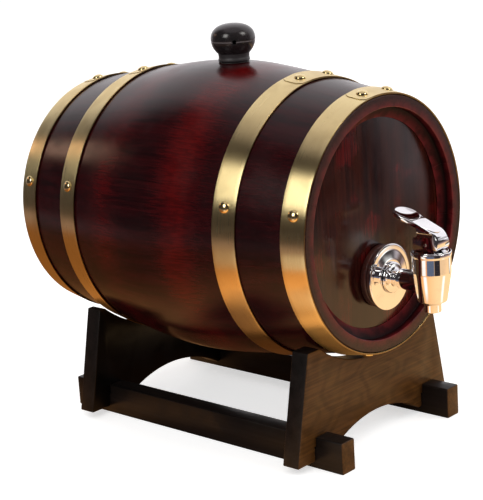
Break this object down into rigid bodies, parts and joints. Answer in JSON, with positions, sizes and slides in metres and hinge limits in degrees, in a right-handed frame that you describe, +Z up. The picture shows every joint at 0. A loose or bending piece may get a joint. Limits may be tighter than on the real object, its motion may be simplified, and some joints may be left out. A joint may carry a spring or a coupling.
{
  "type": "tabletop wine barrel on a cradle stand",
  "caption": "Oak tabletop barrel with brass hoops, a black bung and a chrome lever tap, lying on a black wooden cradle stand.",
  "frame": {"origin": "on the floor plane, below the middle of the whole object's bounding box", "axes": "+Z up; the barrel lies along Y with the tap end at -Y; +X is to the right when the tap is seen from the front"},
  "size_m": [0.1688, 0.2546, 0.2295],
  "materials": {
    "lacquered_oak": "dark red-brown stain under a gloss lacquer",
    "brass": "satin rolled strip",
    "chrome": "bright plating",
    "black_plastic": "gloss black",
    "black_rubber": "matt soft seal",
    "black_stained_wood": "black-brown paint with a low gloss"
  },
  "bodies": {
    "stand": {"front_cradle": "black_stained_wood", "rear_cradle": "black_stained_wood", "left_rail": "black_stained_wood", "right_rail": "black_stained_wood"},
    "barrel": {"stave_01": "lacquered_oak", "stave_02": "lacquered_oak", "stave_03": "lacquered_oak", "stave_04": "lacquered_oak", "stave_05": "lacquered_oak", "stave_06": "lacquered_oak", "stave_07": "lacquered_oak", "stave_08": "lacquered_oak", "stave_09": "lacquered_oak", "stave_10": "lacquered_oak", "stave_11": "lacquered_oak", "stave_12": "lacquered_oak", "stave_13": "lacquered_oak", "front_head": "lacquered_oak", "rear_head": "lacquered_oak", "front_head_hoop": "brass", "front_quarter_hoop": "brass", "rear_quarter_hoop": "brass", "rear_head_hoop": "brass", "front_head_nail_1": "brass", "front_head_nail_2": "brass", "front_head_nail_3": "brass", "front_head_nail_4": "brass", "front_head_nail_5": "brass", "front_quarter_nail_1": "brass", "front_quarter_nail_2": "brass", "front_quarter_nail_3": "brass", "front_quarter_nail_4": "brass", "front_quarter_nail_5": "brass", "rear_quarter_nail_1": "brass", "rear_quarter_nail_2": "brass", "rear_quarter_nail_3": "brass", "rear_quarter_nail_4": "brass", "rear_head_nail_1": "brass", "rear_head_nail_2": "brass", "rear_head_nail_3": "brass", "rear_head_nail_4": "brass", "rear_head_nail_5": "brass", "bung_seal": "black_rubber", "tap_body": "chrome", "tap_flange": "chrome", "tap_pad": "lacquered_oak", "tap_washer": "black_rubber", "tap_lock_nut": "chrome", "tap_bonnet": "chrome", "tap_spring": "chrome"},
    "bung": {"bung_stopper": "black_plastic"},
    "valve_stem": {"tap_stem": "chrome", "tap_seal": "black_rubber", "lever_pin": "chrome"},
    "lever": {"tap_lever": "chrome"}
  },
  "joints": [
    {"name": "barrel_lift", "type": "slide", "parent": "stand", "child": "barrel", "axis": [0, 0, 1], "range_m": [0, 0.12]},
    {"name": "bung_lift", "type": "slide", "parent": "barrel", "child": "bung", "axis": [0, 0, 1], "range_m": [0, 0.04]},
    {"name": "stem_slide", "type": "slide", "parent": "barrel", "child": "valve_stem", "axis": [0, 0, 1], "range_m": [0, 0.00394], "deforming": ["tap_spring"]},
    {"name": "lever_hinge", "type": "hinge", "parent": "valve_stem", "child": "lever", "pos_m": [0, -0.1165, 0.1168], "axis": [1, 0, 0], "range_deg": [0, 60]}
  ],
  "couplings": [
    {"joint": "stem_slide", "follows": "lever_hinge", "m_per_rad": 0.00375}
  ]
}
